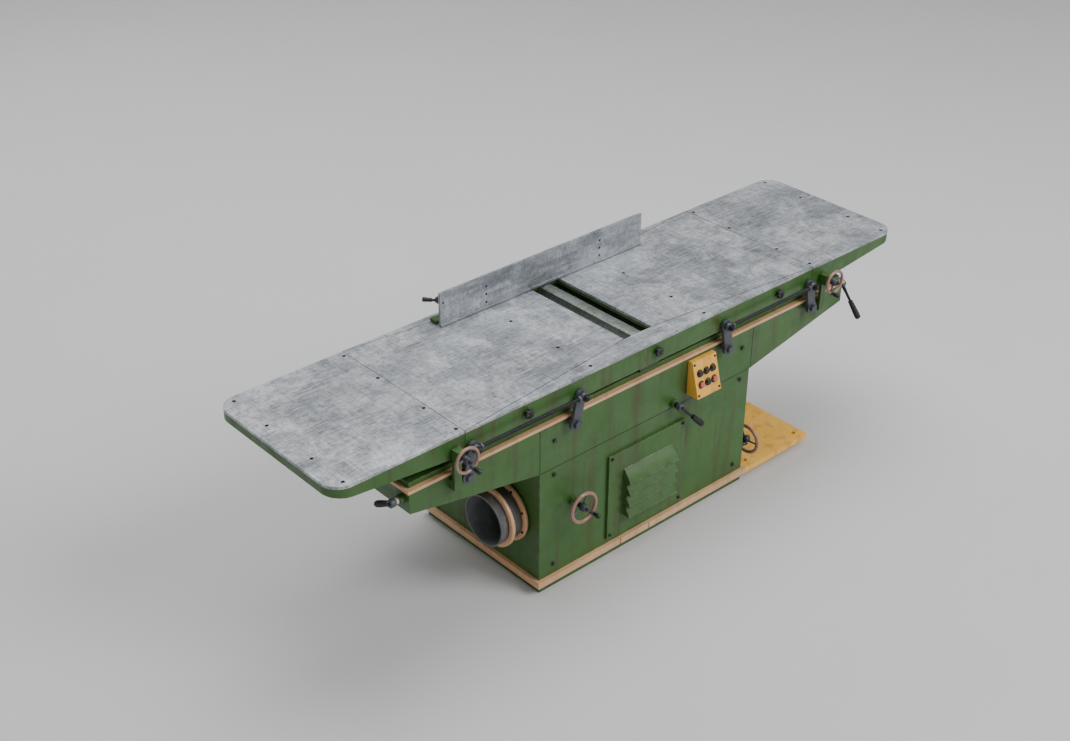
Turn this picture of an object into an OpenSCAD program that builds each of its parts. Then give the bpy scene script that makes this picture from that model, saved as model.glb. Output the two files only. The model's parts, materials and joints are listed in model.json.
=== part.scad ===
// Surface planer (jointer) with two long tables, a driven cutterhead, a sliding
// and tilting fence, and lever-and-eccentric table lifts.
// +X runs along the tables towards the infeed end, -Y faces the operator and
// +Z is up. The origin is on the floor, under the middle of the cutterhead.

/* [Tables] */
// Height of the table top above the floor
table_h = 850; // [830:1:890]
// Length of each table from the cutter gap's middle to its wing
table_l = 860; // [840:1:1040]
// Length of each wing beyond its table
wing_l = 510; // [430:1:620]
// Width of the tables over the lips
table_w = 665; // [560:1:800]
// Planing width between the lips
work_w = 500; // [420:1:620]
// Thickness of the ground table plates
plate_t = 10; // [8:0.5:12]
// Thickness of the cast deck under the plates
deck_t = 12; // [10:0.5:12]
// Thickness of the cast aprons
apron_t = 14.5; // [10:0.5:16]
// Height of the aprons with their plates
apron_h = 88; // [80:1:94]
// Height of the wing at its free end
wing_tip_h = 40; // [34:1:60]
// Corner radius of the wings
wing_r = 70; // [30:1:110]
// Lowering travel of the infeed table
infeed_travel = 8; // [4:1:8]

/* [Cutterhead] */
// Radius of the cutting circle
head_r = 62.5; // [58:0.5:63]
// Radius of the head's journals
journal_r = 20; // [14:1:22]
// Clearance between the cutting circle and the table ends
head_clear = 7; // [3:0.5:7]
// Number of knives
knives = 4; // [2:1:4]
// Wall of the head's pulley around its journal
head_pulley_wall = 5; // [4:0.5:6]

/* [Bed] */
// Length of the bed beyond each table's wing joint
bed_over = 220; // [140:1:390]
// Height of the bed's machined top
bed_top = 700; // [690:1:705]
// Height of the bed's underside at its ends
bed_end_z = 620; // [600:1:630]
// Width of the bed and the cabinet
bed_w = 636; // [610:1:640]
// Thickness of the bed's side walls
bed_wall = 26; // [22:1:30]
// Height of the raised rails over the machined top
rail_h = 31; // [24:1:31]

/* [Cabinet] */
// Left end of the cabinet
cab_x0 = -524; // [-560:1:-500]
// Right end of the cabinet
cab_x1 = 549; // [520:1:580]
// Height of the cabinet's top
cab_top = 516; // [500:1:520]
// Thickness of the cabinet's sheet
sheet_t = 8; // [5:1:10]
// Height of the plinth
plinth_h = 30; // [20:1:36]
// Thickness of the base plate
base_t = 26; // [20:1:30]
// Length of the platform beside the cabinet
platform_l = 377; // [300:1:450]
// Radius of the extraction outlet's bore
outlet_r = 94; // [70:1:100]

/* [Controls] */
// Rim radius of the table handwheels
wheel_r = 50; // [45:1:60]
// Rim radius of the cabinet handwheels
big_wheel_r = 64; // [55:1:75]
// Distance between a lift arm's two centres
arm_l = 107; // [102:1:110]
// Radius of the lift shafts
lift_shaft_r = 14; // [11:1:15]
// Push button radius
button_r = 11; // [9:1:11]

/* [Fence] */
// Length of the fence
fence_l = 1000; // [800:1:1200]
// Height of the fence's top above the table
fence_h = 135; // [120:1:160]
// Distance of the fence's face behind the tables' middle
fence_y = 238; // [225:1:240]
// Travel of the fence towards the operator
fence_travel = 48; // [40:1:130]

/* [Hidden] */

$fn = 64;
running = 0.05;
seat = 0.3;
joint_gap = 0.3;
step = 0.5;

half_w = table_w / 2;
lip_y = work_w / 2;
plate_z = table_h - plate_t;
deck_z = plate_z - deck_t;
apron_z = table_h - apron_h;
wing_x = table_l + wing_l;
gap_half = head_r + head_clear;
seam_x = -42;

bed_half_l = table_l + bed_over;
bed_y = bed_w / 2;
bed_in = bed_y - bed_wall;
rail_y = bed_y - 12;
rail_z = bed_top + rail_h;
bed_seam_l = cab_x0;
bed_seam_r = cab_x1 + 6;
trim_h = 12;
trim_out = 6;
web_t = 14;

base_top = plinth_h + base_t;
base_out = 15;

head_z = table_h - head_r;
housing_y = bed_in - 2;
housing_t = 22;
housing_half = 45;
housing_r = journal_r + 10;
head_pulley_r = journal_r + head_pulley_wall;
pulley_y = lip_y + 6;
pulley_w = 26;
belt_t = 4;
motor_z = 205;
motor_r = 92;
motor_pulley_r = 60;
motor_shaft_r = 14;

lift_z = bed_top - 20;
cam_e = 20;
cam_r = 30;
cam_w = 44;
cam_y = 210;
cam_tilt = 12;
arm_tilt = 12;
inner_arm = table_l * 0.448;
arm_x = [-table_l, -inner_arm, inner_arm, table_l];
arm_y = -(half_w + 4.5);
arm_t = 13;
arm_r = 25;
pin_r = 8;
eye_t = 16;
rod_y = arm_y - arm_t - 2 - eye_t / 2;
rod_r = 7;
eye_slack = 0.6;
cam_top = lift_z + cam_e * sin(cam_tilt) + cam_r;

wheel_y = -(half_w + 65.5);
wheel_z = table_h - 60;
wheel_x = [-(table_l + 45), table_l + 60];
wheel_shaft_r = 8;
bearing_half = 15;

wheel_stand = 62;
wheel_depth = 60;
cab_wheel = [-370, 338];
end_wheel = [-285, 150];
front_lever_at = [128, 536];
lever_stand = 34;
clamp_y = -285;
clamp_z = bed_top - 32;
lock_x = [-596, 15, 663];
lock_z = table_h - 42;

bolt_xz = [
    [cab_x0 + 66, 629], [cab_x0 + 66, 488], [cab_x0 + 66, 100],
    [cab_x1 - 52, 627], [cab_x1 - 52, 488], [cab_x1 - 52, 96]
];
bolt_r = 5;
bolt_head_r = 8;

door_x = [-198, 193];
door_z = [80, 445];
door_t = 10;
vent_x = [-108, 116];
vent_z = [166, 364];
door_screw = [for (x = [door_x[0] + 14, door_x[1] - 14], z = [door_z[0] + 14, door_z[1] - 14]) [x, z]];

outlet_y = -150;
outlet_z = 285;
outlet_l = 116;
outlet_wall = 6;
outlet_rim_r = outlet_r + 24;
outlet_rim_t = 14;

box_x = [200, 325];
box_z = [545, 685];
box_top_d = 20;
box_low_d = 58;
box_slope = atan((box_low_d - box_top_d) / (box_z[1] - box_z[0]));
box_wall = 4;
button_dx = 34;
button_dz = 44;
button_travel = 4;

anchor_r = 9;
anchor_dx = 40;
anchor_dy = 40;

bar_x = 150;
bar_r = 10;
bar_z = table_h + 14;
bar_wall = 6;
rail_block_y = half_w + 6;
rail_block_t = 24;
foot_back = fence_y + 62;
fence_lock_x = -fence_l / 2 + 14;
fence_lock_z = table_h + 94;
fence_t = 10;
fence_gap = 3;
knuckle_r = 7;
hinge_y = fence_y + fence_t + knuckle_r + step;
hinge_z = table_h + 11;
hinge_pin_r = 3;
knuckle_x = [-0.42, -0.14, 0.14, 0.42];
knuckle_l = 30;

green = [0.33, 0.45, 0.27];
dark_green = [0.17, 0.25, 0.16];
steel = [0.68, 0.70, 0.72];
peach = [0.85, 0.66, 0.48];
ochre = [0.80, 0.62, 0.30];
slate = [0.27, 0.30, 0.33];
rim_colour = [0.55, 0.42, 0.38];
black = [0.10, 0.10, 0.11];

// ---- helpers ----

module block(x0, x1, y0, y1, z0, z1) {
    translate([x0, y0, z0]) cube([x1 - x0, y1 - y0, z1 - z0]);
}

module cyl_x(r, x0, x1, y, z) {
    translate([x0, y, z]) rotate([0, 90, 0]) cylinder(r = r, h = x1 - x0);
}

module cyl_y(r, y0, y1, x, z) {
    translate([x, y0, z]) rotate([-90, 0, 0]) cylinder(r = r, h = y1 - y0);
}

module both_y() {
    children();
    mirror([0, 1, 0]) children();
}

module side(s) {
    if (s < 0) mirror([1, 0, 0]) children();
    else children();
}

// A shape drawn in X and Z, spread over a stretch of Y
module slab_y(y0, y1) {
    translate([0, y1, 0]) rotate([90, 0, 0]) linear_extrude(y1 - y0) children();
}

// ---- base and cabinet ----

module anchor_pattern(z0, z1) {
    for (x = [cab_x1 + base_out + anchor_dx, cab_x1 + base_out + platform_l - anchor_dx], y = [-1, 1])
        translate([x, y * (half_w - anchor_dy), z0]) cylinder(r = anchor_r, h = z1 - z0);
}

module plinth() {
    color(dark_green) {
        block(cab_x0, cab_x1, -bed_y, bed_y, 0, plinth_h);
        for (y = [-1, 1])
            translate([cab_x1, y * 240 - 30, 0]) cube([platform_l, 60, plinth_h]);
    }
}

module base_plate() {
    color(peach)
        block(cab_x0 - base_out, cab_x1 + base_out - step, -bed_y - base_out, bed_y + base_out,
              plinth_h, base_top);
}

module platform() {
    color(ochre) difference() {
        block(cab_x1 + base_out, cab_x1 + base_out + platform_l, -half_w, half_w, plinth_h, base_top);
        anchor_pattern(plinth_h - 1, base_top + 1);
    }
}

module bolt_holes() {
    for (b = bolt_xz)
        cyl_y(bolt_r + seat, -bed_y - 1, bed_y + 1, b[0], b[1]);
}

module cabinet_ends() {
    color(green) difference() {
        for (x = [cab_x0, cab_x1 - sheet_t])
            block(x, x + sheet_t, -bed_y + sheet_t, bed_y - sheet_t, base_top, cab_top);
        cyl_x(outlet_r, cab_x0 - 1, cab_x0 + sheet_t + 1, outlet_y, outlet_z);
        cyl_x(wheel_shaft_r + 1, cab_x1 - sheet_t - 1, cab_x1 + 1, end_wheel[0], end_wheel[1]);
    }
}

module cabinet_sides() {
    color(green) difference() {
        both_y() block(cab_x0, cab_x1, bed_y - sheet_t, bed_y, base_top, cab_top);
        block(vent_x[0], vent_x[1], -bed_y - 1, 0, vent_z[0], vent_z[1]);
        cyl_y(wheel_shaft_r + 1, -bed_y - 1, -bed_y + sheet_t + 1, cab_wheel[0], cab_wheel[1]);
        for (s = door_screw) cyl_y(4 + seat, -bed_y - 1, -bed_y + sheet_t + 1, s[0], s[1]);
        bolt_holes();
    }
}

module door_panel() {
    color(green) difference() {
        block(door_x[0], door_x[1], -bed_y - door_t, -bed_y, door_z[0], door_z[1]);
        block(vent_x[0], vent_x[1], -bed_y - door_t - 1, -bed_y + 1, vent_z[0], vent_z[1]);
        for (s = door_screw) cyl_y(4 + seat, -bed_y - door_t - 1, -bed_y + 1, s[0], s[1]);
    }
}

// Four shingled slats over the ventilation opening, closed by cheeks at their ends
module louvre_block() {
    margin = 15;
    slats = 4;
    pitch = (vent_z[1] - vent_z[0]) / slats;
    face = -bed_y - door_t;
    x0 = vent_x[0] - margin;
    width = vent_x[1] + margin - x0;
    cheek_t = 5;
    reach = 34;
    fold = 6;
    slat_t = 3;
    overlap = 2;
    color(green)
        for (i = [0 : slats - 1])
            translate([x0, face, vent_z[0] + i * pitch]) rotate([90, 0, 90]) {
                linear_extrude(width) polygon([
                    [-reach, -fold], [-fold, pitch - fold], [0, pitch - fold], [0, pitch + overlap],
                    [-fold - slat_t, pitch + overlap], [-reach - slat_t, -fold]
                ]);
                for (end = [0, width - cheek_t])
                    translate([0, 0, end]) linear_extrude(cheek_t) polygon([
                        [0, -fold], [-reach, -fold], [-fold, pitch - fold - 0.5], [0, pitch - fold - 0.5]
                    ]);
            }
}

module screw_y(r, depth, x, z, face) {
    cyl_y(r * 2, face - r, face, x, z);
    cyl_y(r, face - 0.01, face + depth, x, z);
}

module frame_fasteners() {
    color(slate) {
        for (s = door_screw) screw_y(4, door_t + sheet_t, s[0], s[1], -bed_y - door_t);
        box_screws();
        bed_bolts();
    }
}

module extraction_outlet() {
    color(peach) difference() {
        union() {
            cyl_x(outlet_r + outlet_wall, cab_x0 - outlet_l, cab_x0, outlet_y, outlet_z);
            for (x = [6, 66])
                cyl_x(outlet_rim_r, cab_x0 - x - outlet_rim_t, cab_x0 - x, outlet_y, outlet_z);
        }
        cyl_x(outlet_r, cab_x0 - outlet_l - 1, cab_x0 + 1, outlet_y, outlet_z);
    }
}

// ---- bed ----

module arm_bores() {
    for (x = arm_x) cyl_y(lift_shaft_r + running, -bed_y - 30, bed_y + 1, x, lift_z);
}

module bed_walls(profile) {
    both_y() slab_y(bed_in, bed_y) polygon(profile);
}

module bed_rails(x0, x1) {
    both_y() block(x0, x1, bed_in, rail_y, bed_top, rail_z);
}

module bed_centre() {
    color(green) difference() {
        union() {
            both_y() block(bed_seam_l, bed_seam_r, bed_in, bed_y, cab_top, bed_top);
            bed_rails(bed_seam_l, bed_seam_r);
            for (x = [bed_seam_l, bed_seam_r - web_t])
                block(x, x + web_t, -bed_in, bed_in, cab_top, lift_z - 40);
        }
        arm_bores();
        bolt_holes();
        cyl_y(wheel_shaft_r + running, -bed_y - 1, -bed_in + 1, front_lever_at[0], front_lever_at[1]);
    }
}

module bed_end(s, x_seam) {
    x0 = abs(x_seam);
    cover_x = table_l + cam_e + cam_r + 10;
    color(green) difference() {
        side(s) {
            bed_walls([[x0, cab_top], [bed_half_l, bed_end_z], [bed_half_l, bed_top], [x0, bed_top]]);
            bed_rails(x0, bed_half_l - 8);
            block(x0, x0 + web_t, -bed_in, bed_in, cab_top + 10, lift_z - 40);
            block(bed_half_l - 18, bed_half_l, -bed_in, bed_in, bed_end_z, bed_top);
            block(cover_x, bed_half_l - 8, -bed_in - step, bed_in + step, rail_z - web_t, rail_z);
            block(bed_half_l - 18, bed_half_l - 8, -bed_in, bed_in, bed_top, rail_z);
        }
        arm_bores();
        side(s) cyl_x(wheel_shaft_r + running, bed_half_l - 30, bed_half_l + 1, clamp_y, clamp_z);
    }
}

module bed_left() {
    bed_end(-1, bed_seam_l);
}

module bed_right() {
    bed_end(1, bed_seam_r);
}

module bed_trim() {
    color(peach) {
        for (span = [[-bed_half_l - 8, bed_seam_l - step], [bed_seam_l, bed_seam_r],
                     [bed_seam_r + step, bed_half_l + 8]])
            both_y() block(span[0], span[1], rail_y, bed_y + trim_out, bed_top, bed_top + trim_h);
        for (s = [-1, 1])
            side(s) block(bed_half_l - 8, bed_half_l + 8, -rail_y, rail_y, bed_top, bed_top + trim_h);
    }
}

module bed_bolts() {
    for (b = bolt_xz, m = [0, 1])
        mirror([0, m, 0]) {
            translate([b[0], -bed_y - 7, b[1]]) rotate([-90, 0, 0]) cylinder(r = bolt_head_r, h = 7, $fn = 6);
            cyl_y(bolt_r, -bed_y - 0.01, -bed_y + sheet_t, b[0], b[1]);
        }
}

// ---- cutterhead and drive ----

module head_bearings() {
    color(dark_green) both_y() difference() {
        union() {
            block(-housing_half, housing_half, housing_y, housing_y + housing_t, rail_z, head_z);
            cyl_y(housing_r, housing_y, housing_y + housing_t, 0, head_z);
        }
        cyl_y(journal_r + running, housing_y - 1, housing_y + housing_t + 1, 0, head_z);
    }
}

module chip_chute() {
    wall = 6;
    chute_x = gap_half + 3;
    mouth_x = gap_half + 150;
    mouth_z = cab_top + 20;
    color(dark_green) {
        for (s = [-1, 1])
            side(s) {
                block(chute_x, chute_x + wall, -lip_y, lip_y, bed_top, deck_z - infeed_travel - 5);
                slab_y(-lip_y, lip_y) polygon([
                    [chute_x, bed_top], [chute_x + wall, bed_top],
                    [mouth_x + wall, mouth_z], [mouth_x, mouth_z]
                ]);
            }
    }
}

module knife_slots(extra) {
    for (i = [0 : knives - 1])
        translate([0, 0, head_z]) rotate([0, 20 + i * 360 / knives, 0])
            translate([-4 - extra, -lip_y - 1, head_r - 26 - extra])
                cube([18 + 2 * extra, work_w + 2, 40]);
}

module cutterhead() {
    color(steel) difference() {
        union() {
            cyl_y(head_r - 1.5, -lip_y + 2, lip_y - 2, 0, head_z);
            cyl_y(journal_r, -housing_y - housing_t, housing_y + housing_t, 0, head_z);
        }
        knife_slots(0);
    }
}

module knife_sets() {
    color([0.8, 0.82, 0.84])
        for (i = [0 : knives - 1])
            translate([0, 0, head_z]) rotate([0, 20 + i * 360 / knives, 0]) {
                translate([-4, -lip_y + 2, head_r - 26]) cube([3, work_w - 4, 25.6]);
                translate([-1, -lip_y + 2, head_r - 26]) cube([15, work_w - 4, 20]);
            }
}

module grooved_pulley(r, w) {
    rotate_extrude($fn = 96) polygon([
        [0, 0], [r, 0], [r, w * 0.2], [r - 3, w * 0.35], [r - 3, w * 0.65], [r, w * 0.8], [r, w], [0, w]
    ]);
}

module head_pulley() {
    color(slate) difference() {
        translate([0, pulley_y, head_z]) rotate([-90, 0, 0]) grooved_pulley(head_pulley_r, pulley_w);
        cyl_y(journal_r, pulley_y - 1, pulley_y + pulley_w + 1, 0, head_z);
    }
}

module motor_pulley() {
    color(slate) {
        translate([0, pulley_y, motor_z]) rotate([-90, 0, 0]) grooved_pulley(motor_pulley_r, pulley_w);
        cyl_y(motor_shaft_r, pulley_y - 40, pulley_y + 0.01, 0, motor_z);
    }
}

module drive_belt() {
    y0 = pulley_y + 2;
    y1 = pulley_y + pulley_w - 2;
    color(black) slab_y(y0, y1) difference() {
        hull() {
            translate([0, head_z]) circle(r = head_pulley_r + belt_t);
            translate([0, motor_z]) circle(r = motor_pulley_r + belt_t);
        }
        hull() {
            translate([0, head_z]) circle(r = head_pulley_r + seat);
            translate([0, motor_z]) circle(r = motor_pulley_r + seat);
        }
    }
}

module drive_motor() {
    y0 = -110;
    y1 = pulley_y - 22;
    fins = 18;
    fin_t = 4;
    shield_t = 20;
    foot_x = 70;
    foot_w = 40;
    foot_inset = 40;
    color(slate) difference() {
        union() {
            cyl_y(motor_r - 8, y0, y1, 0, motor_z);
            for (i = [0 : fins - 1])
                translate([0, 0, motor_z]) rotate([0, i * 360 / fins, 0])
                    block(-fin_t / 2, fin_t / 2, y0 + 30, y1 - 30, 0, motor_r);
            for (y = [y0, y1 - shield_t]) cyl_y(motor_r, y, y + shield_t, 0, motor_z);
            for (x = [-foot_x, foot_x])
                block(x - foot_w / 2, x + foot_w / 2, y0 + foot_inset, y1 - foot_inset,
                      base_top, motor_z - 50);
        }
        cyl_y(motor_shaft_r + running, pulley_y - 46, pulley_y, 0, motor_z);
    }
}

// ---- tables ----

function lip_end(s) = s > 0 ? seam_x + step / 2 : -seam_x + step / 2;

module lift_pads() {
    for (x = [inner_arm, table_l], y = [-cam_y, cam_y]) {
        block(x - 4, x + cam_e + 22, y - 20, y + 20, cam_top + seat, cam_top + 45);
        block(x - 44, x - 4 + step, y - 20, y + 20, cam_top + 8, deck_z);
    }
}

// A ribbed deck between two side rails, which carry the aprons and the lips beside the head
module table_casting(s) {
    x0 = lip_end(s);
    rail_in = half_w - apron_t;
    deck_in = rail_in - joint_gap;
    color(green) difference() {
        side(s) {
            block(gap_half, table_l, -deck_in, deck_in, deck_z, plate_z);
            both_y() {
                block(x0, gap_half - joint_gap, lip_y, rail_in + step, deck_z, plate_z);
                block(x0, table_l, rail_in, half_w, apron_z, plate_z);
                block(gap_half + 16, table_l, 116, 126, deck_z - 30, deck_z + step);
            }
            block(gap_half + 15, gap_half + 29, -deck_in, deck_in, deck_z - 40, deck_z + step);
            block(table_l - web_t, table_l, -deck_in, deck_in, apron_z, deck_z + step);
            lift_pads();
        }
        for (x = lock_x) cyl_y(wheel_shaft_r + running, -half_w - 1, -rail_in + 1, x, lock_z);
    }
}

module wing_plan(inset) {
    r = wing_r - inset;
    w = half_w - inset;
    x1 = wing_x - inset;
    polygon([[table_l, -w], [x1 - r, -w], [x1, -w + r], [x1, w - r], [x1 - r, w], [table_l, w]]);
    for (y = [-w + r, w - r]) translate([x1 - r, y]) circle(r = r);
}

module wing_side() {
    slab_y(-half_w - 1, half_w + 1) polygon([
        [table_l, apron_z], [table_l + 30, apron_z],
        [wing_x + 1, table_h - wing_tip_h], [wing_x + 1, plate_z], [table_l, plate_z]
    ]);
}

module wing_casting(s) {
    color(green) side(s) difference() {
        intersection() {
            translate([0, 0, apron_z - 20]) linear_extrude(plate_z - apron_z + 20) wing_plan(0);
            wing_side();
        }
        intersection() {
            translate([0, 0, apron_z - 30]) linear_extrude(deck_z - apron_z + 30) wing_plan(apron_t);
            block(table_l + web_t, wing_x, -half_w, half_w, apron_z - 30, deck_z);
        }
        for (y = [-cam_y, cam_y])
            block(table_l - 1, table_l + web_t + 1, y - 24, y + 24, apron_z - 1, cam_top + 50);
    }
}

module main_plates(s) {
    x0 = lip_end(s);
    color(steel) difference() {
        side(s) translate([0, 0, plate_z]) linear_extrude(plate_t) {
            polygon([[gap_half, -lip_y], [gap_half, lip_y], [table_l - 0.5, half_w - 0.5],
                     [table_l - 0.5, -half_w + 0.5]]);
            for (m = [0, 1])
                mirror([0, m]) polygon([[x0, lip_y], [gap_half, lip_y + step], [table_l - 2, half_w],
                                        [x0, half_w]]);
        }
        side(s) table_screw_places() translate([0, 0, plate_z - 1]) cylinder(r = 4, h = plate_t + 2);
        side(s) table_screw_places() translate([0, 0, table_h - 5]) cylinder(r = 7, h = 6);
    }
}

module wing_plate(s) {
    color(steel) side(s) difference() {
        translate([0, 0, plate_z]) linear_extrude(plate_t) wing_plan(0);
        block(table_l - 1, table_l + step, -half_w - 1, half_w + 1, plate_z - 1, table_h + 1);
        wing_screw_places() translate([0, 0, plate_z - 1]) cylinder(r = 4, h = plate_t + 2);
        wing_screw_places() translate([0, 0, table_h - 5]) cylinder(r = 7, h = 6);
    }
}

module table_screw_places() {
    for (y = [-139, 110]) translate([gap_half + 213, y, 0]) children();
    for (y = [-304, 304]) translate([gap_half + 213, y, 0]) children();
}

module wing_screw_places() {
    for (x = [table_l + 14, wing_x - 55], y = [-304, -139, 110, 304]) translate([x, y, 0]) children();
}

module table_screw() {
    translate([0, 0, plate_z]) cylinder(r = 3.8, h = plate_t - 4);
    translate([0, 0, table_h - 5]) cylinder(r = 6.8, h = 4.4);
}

module table_screws(s) {
    color(black) side(s) {
        table_screw_places() table_screw();
        wing_screw_places() table_screw();
    }
}

// ---- table lifts ----

// A lever, its stub pin and its nut, forged with the shaft that carries two eccentrics
module lift_arm(i) {
    s = i < 2 ? -1 : 1;
    x = arm_x[i];
    top = [arm_l * sin(arm_tilt), arm_l * cos(arm_tilt)];
    color(slate) translate([x, 0, lift_z]) side(s) {
        slab_y(arm_y - arm_t, arm_y) {
            circle(r = arm_r);
            translate([-top[0], top[1]]) circle(r = arm_r - 4);
            rotate(arm_tilt) translate([-arm_r + 5, 0]) square([2 * arm_r - 10, arm_l]);
        }
        cyl_y(pin_r, arm_y - arm_t - 2 - eye_t - 6, arm_y - arm_t + 1, -top[0], top[1]);
        translate([0, arm_y - arm_t - 12, 0]) rotate([-90, 30, 0]) cylinder(r = 15, h = 12.01, $fn = 6);
        cyl_y(lift_shaft_r, arm_y - 1, bed_y - 2, 0, 0);
        for (y = [-cam_y, cam_y])
            cyl_y(cam_r, y - cam_w / 2, y + cam_w / 2, cam_e * cos(cam_tilt), cam_e * sin(cam_tilt));
    }
}

module tie_rod(i) {
    s = i < 2 ? -1 : 1;
    dx = arm_l * sin(arm_tilt);
    z = lift_z + arm_l * cos(arm_tilt);
    x0 = abs(s < 0 ? arm_x[1] : arm_x[2]) - dx;
    x1 = abs(s < 0 ? arm_x[0] : arm_x[3]) - dx;
    color(black) side(s) difference() {
        union() {
            cyl_x(rod_r, x0 + pin_r + 4, x1 - pin_r - 4, rod_y, z);
            for (x = [x0, x1]) cyl_y(pin_r + 8, rod_y - eye_t / 2, rod_y + eye_t / 2, x, z);
            for (x = [x0 + 26, x1 - 40]) cyl_x(rod_r + 4, x, x + 14, rod_y, z);
        }
        cyl_y(pin_r + eye_slack, rod_y - eye_t, rod_y + eye_t, x0, z);
        cyl_y(pin_r + running, rod_y - eye_t, rod_y + eye_t, x1, z);
    }
}

// ---- handwheels, levers and knobs ----

// Wheel in the XY plane with its shaft along -Z and its crank handle along +Z
module handwheel(r, shaft_l, grip_angle) {
    tube = r * 0.11;
    hub_r = 14;
    hub_half = 12;
    spoke_r = 4.5;
    grip_from = 12;
    grip_to = 40;
    rotate_extrude($fn = 96) translate([r - tube, 0]) circle(r = tube, $fn = 24);
    translate([0, 0, -hub_half]) cylinder(r = hub_r, h = 2 * hub_half);
    for (a = [0 : 120 : 240])
        rotate([0, 0, a + grip_angle])
            cyl_x(spoke_r, hub_r - 4, r - tube - 2, 0, 0);
    rotate([0, 0, grip_angle]) translate([r - tube, 0, 0]) {
        cylinder(r = 4, h = grip_to);
        translate([0, 0, grip_from]) cylinder(r1 = 7, r2 = 9, h = grip_to - grip_from);
    }
    translate([0, 0, -shaft_l]) cylinder(r = wheel_shaft_r, h = shaft_l);
}

module facing_front(x, y, z) {
    translate([x, y, z]) rotate([90, 0, 0]) children();
}

module table_wheel(i) {
    color(rim_colour) facing_front(wheel_x[i], wheel_y, wheel_z)
        handwheel(wheel_r, abs(wheel_y) - half_w - 6, i == 0 ? -60 : -110);
}

module cabinet_handwheel() {
    color(rim_colour) facing_front(cab_wheel[0], -bed_y - wheel_stand, cab_wheel[1])
        handwheel(big_wheel_r, wheel_stand + wheel_depth, -45);
}

module end_handwheel() {
    color(rim_colour) translate([cab_x1 + wheel_stand, end_wheel[0], end_wheel[1]]) rotate([0, 90, 0])
        handwheel(big_wheel_r, wheel_stand + wheel_depth, 30);
}

// Lever in the XY plane, turning about Z, with its shaft along -Z
module lever(length, shaft_l) {
    hub_r = 15;
    bar_lift = 5;
    lever_bar_r = 6;
    grip_l = 75;
    knob_r = 12;
    translate([0, 0, -bar_lift - 1]) cylinder(r = hub_r, h = 22);
    translate([0, 0, -shaft_l]) cylinder(r = wheel_shaft_r, h = shaft_l);
    cyl_x(lever_bar_r, hub_r - bar_lift, length - grip_l + 15, 0, bar_lift);
    translate([length - grip_l, 0, bar_lift]) rotate([0, 90, 0])
        cylinder(r1 = 9, r2 = knob_r, h = grip_l - 7);
    translate([length - 7, 0, bar_lift]) sphere(r = knob_r);
}

module front_lever() {
    color(slate) facing_front(front_lever_at[0], -bed_y - lever_stand, front_lever_at[1])
        rotate([0, 0, -45]) lever(175, lever_stand + bed_wall);
}

module clamp_lever(s) {
    color(slate) side(s) translate([bed_half_l + 40, clamp_y, clamp_z]) rotate([0, 90, 0])
        rotate([0, 0, s < 0 ? 60 : -15]) lever(150, 40 + 24);
}

module lock_knob(i) {
    neck = 6;
    grip = 12;
    color(black) facing_front(lock_x[i], -half_w - neck, lock_z) {
        difference() {
            cylinder(r = 19, h = grip);
            for (a = [0 : 60 : 300]) rotate([0, 0, a]) translate([24, 0, -1]) cylinder(r = 7.5, h = grip + 2);
        }
        translate([0, 0, -neck + 0.2]) cylinder(r = 11, h = neck);
        translate([0, 0, -neck - apron_t]) cylinder(r = wheel_shaft_r, h = neck + apron_t);
    }
}

module shaft_bearings() {
    color(dark_green) {
        for (i = [0, 1]) difference() {
            union() {
                block(wheel_x[i] - bearing_half, wheel_x[i] + bearing_half, -half_w - 35, -half_w - 5,
                      wheel_z - 24, wheel_z + 18);
                block(wheel_x[i] - bearing_half, wheel_x[i] + bearing_half, -half_w - 17, -half_w - 5,
                      bed_top - 50, wheel_z);
                block(wheel_x[i] - bearing_half, wheel_x[i] + bearing_half, -half_w - 17, -bed_y,
                      bed_top - 50, bed_top - 16);
            }
            cyl_y(wheel_shaft_r + running, -half_w - 36, -half_w - 4, wheel_x[i], wheel_z);
        }
        difference() {
            union() {
                cyl_y(18, -bed_y - 16, -bed_y, cab_wheel[0], cab_wheel[1]);
                cyl_x(18, cab_x1, cab_x1 + 16, end_wheel[0], end_wheel[1]);
                cyl_y(17, -bed_y - 16, -bed_y, front_lever_at[0], front_lever_at[1]);
                for (s = [-1, 1]) side(s) cyl_x(17, bed_half_l, bed_half_l + 20, clamp_y, clamp_z);
            }
            cyl_y(wheel_shaft_r + running, -bed_y - 17, -bed_y + 1, cab_wheel[0], cab_wheel[1]);
            cyl_x(wheel_shaft_r + running, cab_x1 - 1, cab_x1 + 17, end_wheel[0], end_wheel[1]);
            cyl_y(wheel_shaft_r + running, -bed_y - 17, -bed_y + 1, front_lever_at[0], front_lever_at[1]);
            for (s = [-1, 1])
                side(s) cyl_x(wheel_shaft_r + running, bed_half_l - 1, bed_half_l + 21, clamp_y, clamp_z);
        }
    }
}

// ---- control box ----

box_mid = (box_x[0] + box_x[1]) / 2;

// Puts a child on the sloping face: x across, y up the face, z out of it
module on_box_face() {
    translate([box_mid, -bed_y - (box_low_d + box_top_d) / 2, (box_z[0] + box_z[1]) / 2])
        rotate([90 - box_slope, 0, 0]) children();
}

module box_side(inset) {
    translate([box_x[0] + inset, -bed_y, 0]) rotate([90, 0, 90])
        linear_extrude(box_x[1] - box_x[0] - 2 * inset)
            polygon([[0, box_z[0] + inset], [-box_low_d + inset, box_z[0] + inset],
                     [-box_top_d + inset, box_z[1] - inset], [0, box_z[1] - inset]]);
}

module button_places() {
    for (row = [0, 1], col = [-1, 0, 1])
        translate([col * button_dx, (row - 0.5) * button_dz, 0]) children();
}

module box_screw_places() {
    for (x = [-1, 1], y = [-1, 1]) translate([x * 54, y * 60, 0]) children();
}

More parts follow.
